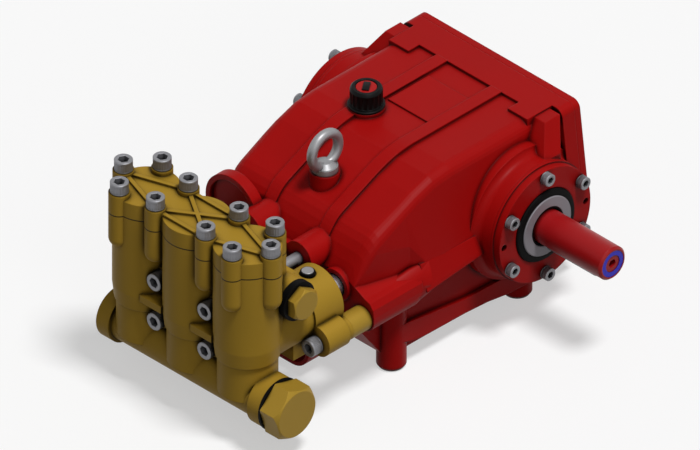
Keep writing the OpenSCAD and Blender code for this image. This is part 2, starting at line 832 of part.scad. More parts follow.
module valve_block() {
    color(brass) at_shaft() difference() {
        union() {
            translate([0, -cylinder_axis, 0]) {
                for (x = plungers) translate([x, 0, 0]) valve_cylinder();
                suction_gallery();
                translate([0, discharge_behind, discharge_height])
                    bar_x(-discharge_half, discharge_half, discharge_r);
                for (p = cover_screws) translate([p[0], p[1], 0]) hanging_boss(boss_depth);
            }
            for (x = plungers) translate([x, 0, 0]) bar_y(cylinder_axis, block_joint, 30);
            for (x = valleys) translate([x, 0, 0]) valley_boss();
            block_flange();
        }
        for (x = valleys, z = [-tie_rise, tie_rise])
            translate([x, 0, z]) {
                bar_y(valley_seat + 1, block_joint - 1, tie_hole_r);
                bar_y(valley_seat + 30, valley_seat, big_head_r + 0.8);
            }
        for (x = plungers) translate([x, 0, 0]) bar_y(block_joint + 6, block_joint - 1, plunger_r + 0.5);
        translate([0, -cylinder_axis, 0]) {
            for (p = cover_screws) translate([p[0], p[1], seam_height - 20])
                cylinder(h = 21, r = tie_hole_r);
            translate([0, 0, -suction_drop]) both_sides()
                bar_x(suction_half - port_depth, suction_half + 1, suction_port_r);
            translate([0, discharge_behind, discharge_height]) both_sides()
                bar_x(discharge_half - port_depth, discharge_half + 1, discharge_port_r);
        }
    }
}

// Outline of the valve cover: three circles, screw bosses and the webs that join them
module cover_outline() {
    for (x = plungers) translate([x, 0]) circle(r = cylinder_r);
    for (p = cover_screws) translate(p) circle(r = boss_r);
    square([2 * plunger_pitch, 2 * valley_screw_y], center = true);
}

// A straight rib on the cover between two screw bosses
module cover_rib(a, b) {
    run = b - a;
    translate([a[0], a[1], 0]) rotate(atan2(run[1], run[0]))
        translate([0, -2, 0]) cube([norm(run), 4, valve_cover_t + cover_rib_rise]);
}

module valve_cover() {
    inner = plunger_pitch / 2;
    outer = plunger_pitch + end_screw_x;
    color(brass) at_shaft() translate([0, -cylinder_axis, seam_height]) difference() {
        union() {
            linear_extrude(valve_cover_t) cover_outline();
            for (p = cover_screws) translate([p[0], p[1], 0]) cylinder(h = valve_cover_t + boss_rise, r = boss_r);
            for (side = [-1, 1], y = [-valley_screw_y, valley_screw_y]) {
                cover_rib([side * outer, 0], [side * inner, y]);
                cover_rib([-inner, y], [inner, side * y]);
            }
        }
        for (p = cover_screws) translate([p[0], p[1], -1])
            cylinder(h = valve_cover_t + boss_rise + 2, r = tie_hole_r);
    }
}

module valve_cover_screws() {
    color(steel) at_shaft() translate([0, -cylinder_axis, seam_height + valve_cover_t + boss_rise])
        for (p = cover_screws) translate([p[0], p[1], 0]) big_socket_screw(valve_cover_t + boss_rise + 16);
}

module suction_plug() {
    seat = suction_half + suction_ring_t;
    color(brass) at_shaft() translate([0, -cylinder_axis, -suction_drop]) {
        translate([seat, 0, 0]) rotate([0, 90, 0]) rotate(15) hex_head(suction_plug_af, suction_plug_l);
        bar_x(suction_half - 14, seat + overlap, suction_port_r - 0.2);
    }
}

module suction_plug_ring() {
    color(black) at_shaft() translate([0, -cylinder_axis, -suction_drop]) difference() {
        bar_x(suction_half, suction_half + suction_ring_t, suction_collar_r + 0.6);
        bar_x(suction_half - 1, suction_half + suction_ring_t + 1, suction_port_r);
    }
}

module discharge_plug() {
    seat = discharge_half + discharge_ring_t;
    color(brass) at_shaft() translate([0, discharge_behind - cylinder_axis, discharge_height]) {
        translate([seat, 0, 0]) rotate([0, 90, 0]) hex_head(discharge_plug_af, discharge_plug_l);
        bar_x(discharge_half - 14, seat + overlap, discharge_port_r - 0.2);
    }
}

module discharge_plug_ring() {
    color(black) at_shaft() translate([0, discharge_behind - cylinder_axis, discharge_height]) difference() {
        bar_x(discharge_half, discharge_half + discharge_ring_t, discharge_r + 0.4);
        bar_x(discharge_half - 1, discharge_half + discharge_ring_t + 1, discharge_port_r);
    }
}

// The casing flange slopes down to a round ear at each corner tie bolt
module seal_casing() {
    low = -tie_rise - 13;
    slope = [[corner_x - 2, -4], [corner_x - 8, 2], [corner_x - 26, 29]];
    color(brass) at_shaft() difference() {
        union() {
            front_plate(block_joint, flange_back)
                polygon(concat([[corner_x, low], [corner_x, -4]], slope,
                    [for (i = [2:-1:0]) [-slope[i][0], slope[i][1]]], [[-corner_x, -4], [-corner_x, low]]));
            for (x = plungers) translate([x, 0, 0]) bar_y(block_joint, tube_front, 32);
            both_sides() {
                translate([corner_x + 1, 0, 3 - tie_rise]) bar_y(block_joint, block_joint - ear_l, ear_r);
                translate([corner_x, 0, -tie_rise]) bar_y(block_joint, tube_front, sleeve_r);
            }
        }
        for (x = plungers) translate([x, 0, 0]) bar_y(block_joint + 1, tube_front - 1, plunger_r + 0.1);
        for (x = valleys, z = [-tie_rise, tie_rise])
            translate([x, 0, z]) bar_y(block_joint + 1, tube_front - 1, tie_hole_r);
        both_sides() translate([corner_x, 0, -tie_rise]) bar_y(block_joint + 1, tube_front - 1, tie_hole_r);
        for (x = plungers) translate([x, -casing_plug_y, 30]) cylinder(h = 5, r = casing_plug_r + 1);
    }
}

module casing_plugs() {
    color(steel) at_shaft() for (x = plungers) translate([x, -casing_plug_y, 30])
        cylinder(h = 5.4, r = casing_plug_r);
}

module valley_tie_bolts() {
    color(steel) at_shaft() for (x = valleys, z = [-tie_rise, tie_rise])
        translate([x, -valley_seat, z]) rotate([90, 0, 0]) big_socket_screw(valley_seat - tie_bolt_end - 2);
}

module corner_tie_bolts() {
    color(steel) at_shaft() for (x = [-corner_x, corner_x])
        translate([x, -block_joint, -tie_rise]) rotate([90, 0, 0])
            big_socket_screw(block_joint - tie_bolt_end - 2);
}

module spacer_sleeves() {
    color(brass) at_shaft() for (x = [-corner_x, corner_x]) translate([x, 0, -tie_rise]) difference() {
        bar_y(tube_front, case_front, sleeve_r);
        bar_y(tube_front + 1, case_front - 1, tie_hole_r);
    }
}

module plunger(x) {
    color(steel) at_shaft() translate([x, 0, 0]) bar_y(block_joint + 6, plunger_end, plunger_r);
}

module plunger_left() {
    plunger(-plunger_pitch);
}

module plunger_middle() {
    plunger(0);
}

module plunger_right() {
    plunger(plunger_pitch);
}

crankcase();
drip_tray();
rear_cover();
rear_cover_screws();
oil_level_glass();
oil_level_bezel();
drain_plug();
bearing_cover_right();
bearing_cover_left();
cover_screws_right();
cover_screws_left();
shaft_seal();
shaft_seal_lip();
drive_shaft();
shaft_end_ring();
shaft_key();
filler_cap();
filler_cap_disc();
lifting_eye();
valve_block();
valve_cover();
valve_cover_screws();
suction_plug();
suction_plug_ring();
discharge_plug();
discharge_plug_ring();
seal_casing();
casing_plugs();
valley_tie_bolts();
corner_tie_bolts();
spacer_sleeves();
plunger_left();
plunger_middle();
plunger_right();
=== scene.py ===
import math

import bmesh
import bpy
from mathutils import Matrix, Vector


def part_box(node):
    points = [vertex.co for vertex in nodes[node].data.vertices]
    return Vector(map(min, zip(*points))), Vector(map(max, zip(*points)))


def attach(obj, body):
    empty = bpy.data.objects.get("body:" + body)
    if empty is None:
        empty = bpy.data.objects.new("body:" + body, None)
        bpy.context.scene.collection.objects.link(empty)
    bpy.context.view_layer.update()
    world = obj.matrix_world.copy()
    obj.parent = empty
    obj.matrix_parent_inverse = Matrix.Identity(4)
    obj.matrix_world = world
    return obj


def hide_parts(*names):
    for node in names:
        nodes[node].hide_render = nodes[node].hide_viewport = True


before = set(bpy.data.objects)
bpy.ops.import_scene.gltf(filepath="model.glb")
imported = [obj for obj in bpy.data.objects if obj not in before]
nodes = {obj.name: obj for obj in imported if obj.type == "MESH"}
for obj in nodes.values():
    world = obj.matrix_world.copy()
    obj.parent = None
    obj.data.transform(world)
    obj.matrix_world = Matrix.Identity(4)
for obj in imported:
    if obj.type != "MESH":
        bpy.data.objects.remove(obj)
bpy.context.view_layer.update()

scene = bpy.context.scene


# The crankcase is a grey iron casting with soft edges from its sand mould. It is shot blasted,
# then sprayed with red enamel together with its screwed-on covers and the sheet steel drip tray.
RED_ENAMEL = "#A40E0D"
CAST_EDGE = 0.0016
PATCHES_PER_METRE = 18.0
PATCH_TONE = 0.84
GRAIN_DEPTH = 0.0004
# Ambient occlusion levels between which the painted shade in corners fades out.
SHELTERED = 0.5
OPEN = 0.94
SMOOTHER = 0.06
ROUGHER = 0.08


def linear(colour):
    """An sRGB hex colour as linear red, green, blue and alpha."""
    parts = [int(colour[i:i + 2], 16) / 255 for i in (1, 3, 5)]
    return [c / 12.92 if c <= 0.04045 else ((c + 0.055) / 1.055) ** 2.4 for c in parts] + [1]


def add(tree, kind, settings=(), links=()):
    """One node in a tree, with its settings and the sockets that feed it."""
    made = tree.nodes.new(kind)
    for name, value in dict(settings).items():
        if isinstance(name, str) and name in made.bl_rna.properties:
            setattr(made, name, value)
        else:
            made.inputs[name].default_value = value
    for name, source in dict(links).items():
        tree.links.new(source, made.inputs[name])
    return made


def finish(name, colour, *, edge, grit_mm, relief, roughness, metallic, specular, corner,
           painted_corner_shade):
    """A surface with rounded edges, fine grain, slow changes of tone and gloss, and painted shade in its
    corners.

    edge and corner are the radius of the edges and the reach of the painted corner shade, in metres, and
    painted_corner_shade says how dark that painted shade is. grit_mm is the size of the grain. That of
    the enamel and the castings is drawn over 1 mm, coarser than the real one, so that it shows. The slow
    patches are about 55 mm across.
    """
    made = bpy.data.materials.new(name)
    made.use_nodes = True
    tree = made.node_tree
    tree.nodes.clear()
    place = add(tree, "ShaderNodeTexCoord").outputs["Object"]
    patches = add(tree, "ShaderNodeTexNoise", {"Scale": PATCHES_PER_METRE, "Detail": 4.0},
                  {"Vector": place})
    grain = add(tree, "ShaderNodeTexNoise", {"Scale": 1000 / grit_mm, "Detail": 3.0}, {"Vector": place})
    bright = linear(colour)
    deep = [c * PATCH_TONE for c in bright[:3]] + [1]
    dark = [c * (1 - painted_corner_shade) for c in bright[:3]] + [1]
    tone = add(tree, "ShaderNodeMix", {"data_type": "RGBA", 6: deep, 7: bright},
               {0: patches.outputs["Fac"]})
    # Painted shade: ambient occlusion darkens the colour in corners, creases and between parts.
    painted_shade_occlusion = add(tree, "ShaderNodeAmbientOcclusion", {"samples": 10, "Distance": corner})
    clear = add(tree, "ShaderNodeMapRange", {"From Min": SHELTERED, "From Max": OPEN},
                {"Value": painted_shade_occlusion.outputs["AO"]})
    shaded = add(tree, "ShaderNodeMix", {"data_type": "RGBA", 6: dark},
                 {0: clear.outputs["Result"], 7: tone.outputs[2]})
    gloss = add(tree, "ShaderNodeMapRange",
                {"To Min": roughness - SMOOTHER, "To Max": roughness + ROUGHER},
                {"Value": patches.outputs["Fac"]})
    rounded = add(tree, "ShaderNodeBevel", {"samples": 6, "Radius": edge})
    bump = add(tree, "ShaderNodeBump", {"Strength": relief, "Distance": GRAIN_DEPTH},
               {"Height": grain.outputs["Fac"], "Normal": rounded.outputs["Normal"]})
    shader = add(tree, "ShaderNodeBsdfPrincipled",
                 {"Metallic": metallic, "Specular IOR Level": specular},
                 {"Base Color": shaded.outputs[2], "Roughness": gloss.outputs["Result"],
                  "Normal": bump.outputs["Normal"]})
    add(tree, "ShaderNodeOutputMaterial", (), {"Surface": shader.outputs["BSDF"]})
    return made


def coat(material, *names):
    """Gives CAD nodes a material."""
    for name in names:
        nodes[name].data.materials.clear()
        nodes[name].data.materials.append(material)


# Sprayed enamel over cast iron: a satin red with faint orange peel, and painted shade in the corners.
red_enamel = finish("sprayed_red_enamel", RED_ENAMEL, edge=CAST_EDGE, grit_mm=1.4, relief=0.12,
                    roughness=0.42, metallic=0.0, specular=0.07, corner=0.007, painted_corner_shade=0.9)
coat(red_enamel, "crankcase", "drip_tray", "rear_cover", "bearing_cover_right", "bearing_cover_left")


# A cast fillet joins the front end of each side bead to the round end of the corner tube below it.
# It is part of the crankcase casting, under the same enamel. Its outlines are points beside and above
# the shaft's axis, at three distances in front of it.
FLAT_ANGLE = math.radians(1)
FILLET_SHARP = 50
FILLET_OUTLINES = {
    0.166: [(0.0960, -0.0012), (0.1020, -0.0016), (0.1060, -0.0120)],
    0.147: [(0.1000, 0.0045), (0.1048, 0.0036), (0.1086, -0.0030), (0.1130, -0.0095),
            (0.1142, -0.0175), (0.1142, -0.0235), (0.1120, -0.0302), (0.1060, -0.0352),
            (0.0960, -0.0352)],
    0.124: [(0.1000, 0.0057), (0.1071, 0.0057), (0.1149, -0.0166), (0.1158, -0.0202),
            (0.1000, -0.0202)]}
seal_low, seal_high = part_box("shaft_seal")
shaft_axis = Matrix.Translation((0, (seal_low.y + seal_high.y) / 2, (seal_low.z + seal_high.z) / 2))


def piece(name, mesh, material, body, sharp=30):
    """An object from a bmesh, smooth apart from its sharp edges, that rides on a body."""
    data = bpy.data.meshes.new(name)
    mesh.to_mesh(data)
    mesh.free()
    data.shade_smooth()
    data.set_sharp_from_angle(angle=math.radians(sharp))
    data.materials.append(material)
    made = bpy.data.objects.new(name, data)
    scene.collection.objects.link(made)
    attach(made, body)
    return made


fillets = bmesh.new()
for hand in (-1, 1):
    corners = [fillets.verts.new((hand * x, -ahead, z))
               for ahead, outline in FILLET_OUTLINES.items() for x, z in outline]
    bmesh.ops.convex_hull(fillets, input=corners)
bmesh.ops.dissolve_limit(fillets, angle_limit=FLAT_ANGLE, verts=fillets.verts, edges=fillets.edges)
bmesh.ops.recalc_face_normals(fillets, faces=fillets.faces)
bmesh.ops.transform(fillets, matrix=shaft_axis, verts=fillets.verts)
fillets = piece("cast_bead_fillets", fillets, red_enamel, "pump_body", sharp=FILLET_SHARP)


# Socket head screws hold the covers: forged alloy steel, blackened, with a knurled head whose rim
# is turned bright and a broached hexagon socket.
SCREW_STEEL = "#8A8A8E"
M8 = 0.008
M12 = 0.012
LOW_HEAD = 0.45
SOCKET_R = 0.46
SOCKET_FLOOR = 0.4
KNURL_BAND = (0.12, 0.80)
KNURL_TEETH = 36
KNURL_DEPTH = 0.00035
HEAD_CHAMFER = 0.0007
HAIR = 1e-5


def solids_of(name):
    """The lowest and highest corner of each closed solid in a CAD node."""
    mesh = bmesh.new()
    mesh.from_mesh(nodes[name].data)
    bmesh.ops.remove_doubles(mesh, verts=mesh.verts, dist=1e-6)
    left = set(mesh.verts)
    boxes = []
    while left:
        group = [left.pop()]
        for vertex in group:
            for edge in vertex.link_edges:
                other = edge.other_vert(vertex)
                if other in left:
                    left.remove(other)
                    group.append(other)
        boxes.append([Vector([pick(v.co[i] for v in group) for i in range(3)]) for pick in (min, max)])
    mesh.free()
    return sorted(boxes, key=lambda box: tuple(box[0]))


def turned(profile, steps):
    """A bmesh turned about Z from (radius, height) points."""
    mesh = bmesh.new()
    points = [mesh.verts.new((radius, 0, height)) for radius, height in profile]
    edges = [mesh.edges.new(pair) for pair in zip(points, points[1:])]
    bmesh.ops.spin(mesh, geom=points + edges, cent=(0, 0, 0), axis=(0, 0, 1), dvec=(0, 0, 0),
                   angle=math.tau, steps=steps, use_merge=True)
    bmesh.ops.remove_doubles(mesh, verts=mesh.verts, dist=1e-7)
    bmesh.ops.recalc_face_normals(mesh, faces=mesh.faces)
    return mesh


def gather(joined, one, place):
    """Moves a bmesh to its place and adds it to a joined one."""
    bmesh.ops.transform(one, matrix=place, verts=one.verts)
    data = bpy.data.meshes.new("one")
    one.to_mesh(data)
    one.free()
    joined.from_mesh(data)
    bpy.data.meshes.remove(data)


def socket_screw(size, head_r, top, shank):
    """One screw along Z with its head's seat at the origin and its top at the given height."""
    socket_r = SOCKET_R * size
    floor = SOCKET_FLOOR * top
    band_low, band_high = [share * top for share in KNURL_BAND]
    mesh = turned([
        (0, -shank), (size / 2 - 0.0006, -shank), (size / 2, 0.0006 - shank), (size / 2, 0),
        (head_r - 0.0004, 0), (head_r, 0.0004), (head_r, band_low), (head_r, band_low + 0.0002),
        (head_r, band_high - 0.0002), (head_r, band_high), (head_r, top - HEAD_CHAMFER),
        (head_r - HEAD_CHAMFER, top), (socket_r + 0.0006, top), (socket_r, top - 0.0005),
        (socket_r, floor), (0, floor - 0.0008)], 2 * KNURL_TEETH)
    for vertex in mesh.verts:
        radius = vertex.co.xy.length
        angle = math.atan2(vertex.co.y, vertex.co.x)
        if radius > head_r - HAIR and band_low + HAIR < vertex.co.z < band_high - HAIR:
            tooth = round(angle / math.tau * 2 * KNURL_TEETH)
            vertex.co.xy *= 1 - (tooth % 2) * KNURL_DEPTH / radius
        elif HAIR < radius < socket_r + HAIR and floor - HAIR < vertex.co.z < top - HAIR:
            from_flat = (angle + math.tau) % (math.pi / 3) - math.pi / 6
            vertex.co.xy *= math.cos(math.pi / 6) / math.cos(from_flat)
    return mesh


def screws(name, outward, size, material, head=1.0):
    """Knurled screws in place of a CAD node's plain ones, each where its solid is.

    head is the height of the head as a share of the screw's size.
    """
    outward = Vector(outward)
    along = [i for i in range(3) if outward[i]][0]
    side = (along + 1) % 3
    turn = outward.to_track_quat("Z", "Y").to_matrix().to_4x4()
    joined = bmesh.new()
    for low, high in solids_of(name):
        length = high[along] - low[along]
        seat = (low + high) / 2
        seat[along] = (high[along] - size) if outward[along] > 0 else (low[along] + size)
        one = socket_screw(size, (high[side] - low[side]) / 2, head * size, length - size)
        gather(joined, one, Matrix.Translation(seat) @ turn)
    made = piece("knurled_" + name, joined, material, "pump_body")
    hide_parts(name)


# Blackened alloy steel, with painted shade in the knurl and dull bright turned rims.
screw_steel = finish("blackened_screw_steel", SCREW_STEEL, edge=0.0003, grit_mm=0.5, relief=0.05,
                     roughness=0.42, metallic=0.6, specular=0.35, corner=0.0045, painted_corner_shade=0.95)
screws("cover_screws_right", (1, 0, 0), M8, screw_steel)
screws("cover_screws_left", (-1, 0, 0), M8, screw_steel)
screws("rear_cover_screws", (0, 1, 0), M8, screw_steel, head=LOW_HEAD)


# The lifting eye is forged steel, and the drain plug and the rim of the oil level glass are turned
# steel. All three are zinc plated and screwed in.
PLATED_STEEL = "#98989A"
# Zinc plate: a pale, even grey with a soft, broad shine.
plated_steel = finish("zinc_plated_steel", PLATED_STEEL, edge=0.0005, grit_mm=0.6, relief=0.08,
                      roughness=0.42, metallic=0.55, specular=0.4, corner=0.005, painted_corner_shade=0.75)
coat(plated_steel, "drain_plug", "oil_level_bezel", "lifting_eye")


# The oil level glass is a flat clear lens, moulded and pressed into its rim. The oil stands behind
# it, and a solid of one colour stands for both.
OIL_GLASS = "#C9A860"
# Oil behind glass: straw yellow under a sharp, smooth shine.
oil_glass = finish("oil_behind_level_glass", OIL_GLASS, edge=0.0004, grit_mm=3.0, relief=0.0,
                   roughness=0.12, metallic=0.0, specular=0.5, corner=0.003, painted_corner_shade=0.3)
coat(oil_glass, "oil_level_glass")


# The drive shaft is ground steel under the same shop red, with a drawn steel key in its slot.
# A blue plastic ring marks the end of the shaft round its threaded hole.
SHAFT_RED = "#A01216"
RING_BLUE = "#2E26C8"
KEY_STEEL = "#8C8C90"
# Thin lacquer on ground steel: smoother and a little glossier than the enamel on the casting.
shaft_lacquer = finish("red_shaft_lacquer", SHAFT_RED, edge=0.0006, grit_mm=0.8, relief=0.04,
                       roughness=0.36, metallic=0.0, specular=0.2, corner=0.005, painted_corner_shade=0.8)
coat(shaft_lacquer, "drive_shaft")
# Moulded plastic: an even blue with a mild shine.
blue_plastic = finish("blue_moulded_plastic", RING_BLUE, edge=0.0003, grit_mm=1.0, relief=0.02,
                      roughness=0.4, metallic=0.0, specular=0.3, corner=0.003, painted_corner_shade=0.6)
coat(blue_plastic, "shaft_end_ring")
# Cold drawn steel: plain bright grey with straight, crisp edges.
key_steel = finish("drawn_key_steel", KEY_STEEL, edge=0.0004, grit_mm=0.4, relief=0.03,
                   roughness=0.4, metallic=0.6, specular=0.4, corner=0.003, painted_corner_shade=0.7)
coat(key_steel, "shaft_key")


# The shaft seal is a pressed steel case in a collar of black rubber that fills the recess of the
# cover and stands a little proud of it. A thin rubber lip runs on the shaft.
SEAL_GREY = "#908C92"
RUBBER = "#090909"
SEAL_PROUD = 0.0040
COLLAR_WIDTH = 0.0068
LIP_WIDTH = 0.0022
FREE = 0.0001
# Pressed sheet steel with an oily film: a flat mid grey, hardly shining.
seal_steel = finish("pressed_seal_case", SEAL_GREY, edge=0.0005, grit_mm=0.6, relief=0.05,
                    roughness=0.45, metallic=0.1, specular=0.2, corner=0.003, painted_corner_shade=0.8)
# Nitrile rubber: near black and matt.
black_rubber = finish("black_nitrile_rubber", RUBBER, edge=0.0005, grit_mm=0.6, relief=0.08,
                      roughness=0.6, metallic=0.0, specular=0.05, corner=0.004, painted_corner_shade=0.7)
lip_low, lip_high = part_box("shaft_seal_lip")
shaft_low, shaft_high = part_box("drive_shaft")
case_r = (seal_high.y - seal_low.y) / 2
collar_r = case_r + COLLAR_WIDTH
inner_r = (lip_high.y - lip_low.y) / 2
shaft_r = (shaft_high.y - shaft_low.y) / 2
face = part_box("bearing_cover_right")[1].x + SEAL_PROUD
along_shaft = shaft_axis @ Vector((1, 0, 0)).to_track_quat("Z", "Y").to_matrix().to_4x4()


def on_shaft(name, profile, material, steps=96):
    """A ring turned about the shaft from (radius, distance along the shaft) points."""
    ring = turned(profile + profile[:1], steps)
    bmesh.ops.transform(ring, matrix=along_shaft, verts=ring.verts)
    return piece(name, ring, material, "pump_body")


seal_case = on_shaft("pressed_seal_case", [
    (inner_r, seal_low.x), (case_r, seal_low.x), (case_r, face - 0.0008), (case_r - 0.0008, face),
    (inner_r + 0.0006, face), (inner_r, face - 0.0006)], seal_steel)
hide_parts("shaft_seal")
collar = on_shaft("seal_rubber_collar", [
    (case_r + FREE, seal_high.x), (collar_r, seal_high.x + 0.0006), (collar_r, face - 0.0032),
    (collar_r - 0.0010, face - 0.0020), (case_r + 0.0014, face - 0.0010),
    (case_r + FREE, face - 0.0014)], black_rubber)
seal_lip = on_shaft("rubber_seal_lip", [
    (shaft_r + FREE, lip_low.x), (inner_r - FREE, lip_low.x), (inner_r - FREE, face - 0.0010),
    (inner_r - LIP_WIDTH + 0.0012, face - 0.0002), (shaft_r + FREE, face - 0.0016)], black_rubber)
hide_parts("shaft_seal_lip")


# The filler cap is black moulded plastic with grip ribs, on a washer moulded with it. A red disc is
# pressed into its top, and a black moulded key stands on the disc.
CAP_BLACK = "#080808"
CAP_RED = "#B01414"
CAP_RIBS = 18
CAP_RIB_DEPTH = 0.0009
CAP_RADIUS = 0.0158
CAP_HEIGHT = 0.0212
WASHER_HEIGHT = 0.0026
DISC_RADIUS = 0.0102
DISC_BED = CAP_HEIGHT - 0.0022
DISC_TOP = CAP_HEIGHT - 0.0006
KEY_SIZE = (0.0066, 0.0135, 0.0014)
KEY_EDGE = 0.0004
KEY_TURN = math.radians(36)
# Moulded plastic: deep black, with thin highlights on the ribs.
cap_plastic = finish("black_moulded_plastic", CAP_BLACK, edge=0.0005, grit_mm=1.2, relief=0.1,
                     roughness=0.42, metallic=0.0, specular=0.09, corner=0.003, painted_corner_shade=0.7)
# The disc is a brighter, smoother plastic than the cap.
disc_plastic = finish("red_moulded_disc", CAP_RED, edge=0.0004, grit_mm=1.2, relief=0.03,
                      roughness=0.3, metallic=0.0, specular=0.1, corner=0.002, painted_corner_shade=0.8)
cap_low, cap_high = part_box("filler_cap")
cap_seat = Matrix.Translation(((cap_low.x + cap_high.x) / 2, (cap_low.y + cap_high.y) / 2, cap_low.z))
washer_r = (cap_high.x - cap_low.x) / 2 + 0.0006
cap = turned([
    (0, 0.0002), (washer_r, 0), (washer_r, WASHER_HEIGHT - 0.0008),
    (washer_r - 0.0008, WASHER_HEIGHT),
    (CAP_RADIUS, WASHER_HEIGHT), (CAP_RADIUS, WASHER_HEIGHT + 0.0008),
    (CAP_RADIUS, WASHER_HEIGHT + 0.0010), (CAP_RADIUS, CAP_HEIGHT - 0.0035),
    (CAP_RADIUS, CAP_HEIGHT - 0.0033),
    (CAP_RADIUS - 0.0006, CAP_HEIGHT - 0.0014), (CAP_RADIUS - 0.0022, CAP_HEIGHT),
    (DISC_RADIUS + 0.0009, CAP_HEIGHT), (DISC_RADIUS + 0.0002, CAP_HEIGHT - 0.0007),
    (DISC_RADIUS, DISC_BED), (0, DISC_BED)], CAP_RIBS * 8)
for vertex in cap.verts:
    radius = vertex.co.xy.length
    if radius > CAP_RADIUS - HAIR and WASHER_HEIGHT + 0.0009 < vertex.co.z < CAP_HEIGHT - 0.0034:
        wave = 0.5 + 0.5 * math.cos(CAP_RIBS * math.atan2(vertex.co.y, vertex.co.x))
        vertex.co.xy *= 1 - CAP_RIB_DEPTH * (1 - wave ** 2) / radius
bmesh.ops.transform(cap, matrix=cap_seat, verts=cap.verts)
cap = piece("ribbed_filler_cap", cap, cap_plastic, "pump_body", sharp=40)
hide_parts("filler_cap")
disc = turned([(0, DISC_BED), (DISC_RADIUS, DISC_BED), (DISC_RADIUS, DISC_TOP - 0.0004),
               (DISC_RADIUS - 0.0004, DISC_TOP), (0, DISC_TOP)], 64)
bmesh.ops.transform(disc, matrix=cap_seat, verts=disc.verts)
disc = piece("red_cap_disc", disc, disc_plastic, "pump_body")
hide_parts("filler_cap_disc")
key = bmesh.new()
bmesh.ops.create_cube(key, size=1)
bmesh.ops.scale(key, vec=KEY_SIZE, verts=key.verts)
bmesh.ops.bevel(key, geom=key.edges[:], offset=KEY_EDGE, offset_type="OFFSET", segments=2, profile=0.5,
                affect="EDGES", material=-1)
key_place = cap_seat @ Matrix.Translation((0, 0, CAP_HEIGHT)) @ Matrix.Rotation(KEY_TURN, 4, "Z")
bmesh.ops.transform(key, matrix=key_place, verts=key.verts)
key = piece("moulded_cap_key", key, cap_plastic, "pump_body")


# The valve block, its cover and the seal casing are aluminium bronze castings, left bare.
# Their joint faces are machined flat, and ten long screws hold the cover down. Old oil and dust
# darken the joint of block and cover, in a band a little over 1 mm high.
CAST_BRONZE = "#A8852B"
JOINT_STAIN = "#2A200B"
JOINT_BAND = 0.0013
# Sand cast bronze: a brownish yellow, grainy and nearly matt.
cast_bronze = finish("cast_aluminium_bronze", CAST_BRONZE, edge=0.0014, grit_mm=1.2, relief=0.18,
                     roughness=0.48, metallic=0.08, specular=0.08, corner=0.008, painted_corner_shade=0.92)
coat(cast_bronze, "valve_block", "valve_cover", "seal_casing")
tree = cast_bronze.node_tree
shader = next(n for n in tree.nodes if n.type == "BSDF_PRINCIPLED")
unstained = shader.inputs["Base Color"].links[0].from_socket
place = add(tree, "ShaderNodeTexCoord").outputs["Object"]
height = add(tree, "ShaderNodeSeparateXYZ", (), {0: place}).outputs["Z"]
joint_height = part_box("valve_cover")[0].z
at_joint = add(tree, "ShaderNodeMath", {"operation": "COMPARE", 1: joint_height, 2: JOINT_BAND / 2},
               {0: height})
stained = add(tree, "ShaderNodeMix", {"data_type": "RGBA", 7: linear(JOINT_STAIN)},
              {0: at_joint.outputs[0], 6: unstained})
tree.links.new(stained.outputs[2], shader.inputs["Base Color"])
screws("valve_cover_screws", (0, 0, 1), M12, screw_steel)


# Two hexagon plugs close the galleries on black sealing rings, and spacer sleeves stand on the tie
# bolts. Both are turned from bronze bar.
TURNED_BRONZE = "#AC8A30"
# Turned bronze: smoother and a little brighter than the casting.
turned_bronze = finish("turned_bronze", TURNED_BRONZE, edge=0.0006, grit_mm=0.5, relief=0.06,
                       roughness=0.38, metallic=0.15, specular=0.12, corner=0.005, painted_corner_shade=0.88)
coat(turned_bronze, "suction_plug", "discharge_plug", "spacer_sleeves")
coat(black_rubber, "suction_plug_ring", "discharge_plug_ring")


# A steel plug with a bevelled head, pressed in over a black sealing ring, closes each seal chamber.
# The plug is turned and zinc plated, and the ring is rubber.
PLUG_FACE_R = 0.0058
RING_WIDTH = 0.0015
plug_mesh = bmesh.new()
ring_mesh = bmesh.new()
for low, high in solids_of("casing_plugs"):
    plug_r = (high.x - low.x) / 2
    top = high.z - low.z
    place = Matrix.Translation(((low.x + high.x) / 2, (low.y + high.y) / 2, low.z))
    plug = turned([
        (0, 0.0002), (plug_r - RING_WIDTH - FREE, 0.0002), (plug_r - RING_WIDTH - FREE, top - 0.0011),
        (PLUG_FACE_R + 0.0003, top - 0.0011), (PLUG_FACE_R, top - 0.0002), (PLUG_FACE_R - 0.0003, top),
        (0, top)], 48)
    gather(plug_mesh, plug, place)
    ring = turned([
        (plug_r - RING_WIDTH, 0.0010), (plug_r, 0.0010), (plug_r, top - 0.0012),
        (plug_r - 0.0005, top - 0.0007), (plug_r - RING_WIDTH, top - 0.0010),
        (plug_r - RING_WIDTH, 0.0010)], 48)
    gather(ring_mesh, ring, place)
plugs = piece("bevelled_casing_plugs", plug_mesh, plated_steel, "pump_body")
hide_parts("casing_plugs")
plug_rings = piece("casing_plug_rings", ring_mesh, black_rubber, "pump_body")


# Long socket head bolts tie the valve block to the crankcase across the open gap. They are the same
# blackened steel as the other screws.
screws("valley_tie_bolts", (0, -1, 0), M12, screw_steel)
screws("corner_tie_bolts", (0, -1, 0), M12, screw_steel)


# The three plungers cross the open gap from the crankcase into the seal casing. They are steel,
# ground and polished to run in their packings.
PLUNGER_STEEL = "#B9B9BE"
# Ground steel: bright, with sharp reflections of what is round it.
ground_steel = finish("ground_plunger_steel", PLUNGER_STEEL, edge=0.0004, grit_mm=0.3, relief=0.02,
                      roughness=0.22, metallic=0.9, specular=0.5, corner=0.003, painted_corner_shade=0.6)
coat(ground_steel, "plunger_left", "plunger_middle", "plunger_right")


# The floor is a plain pale sheet just under the feet, white all round, with the pump's soft shadow.
# Light that it throws back up at the pump is that of a darker sheet.
FLOOR_SIZE = 12.0
FLOOR_DROP = 0.0002
FLOOR_SEEN = "#F9F9F9"
FLOOR_BOUNCE = "#959595"
WHITE = "#FFFFFF"


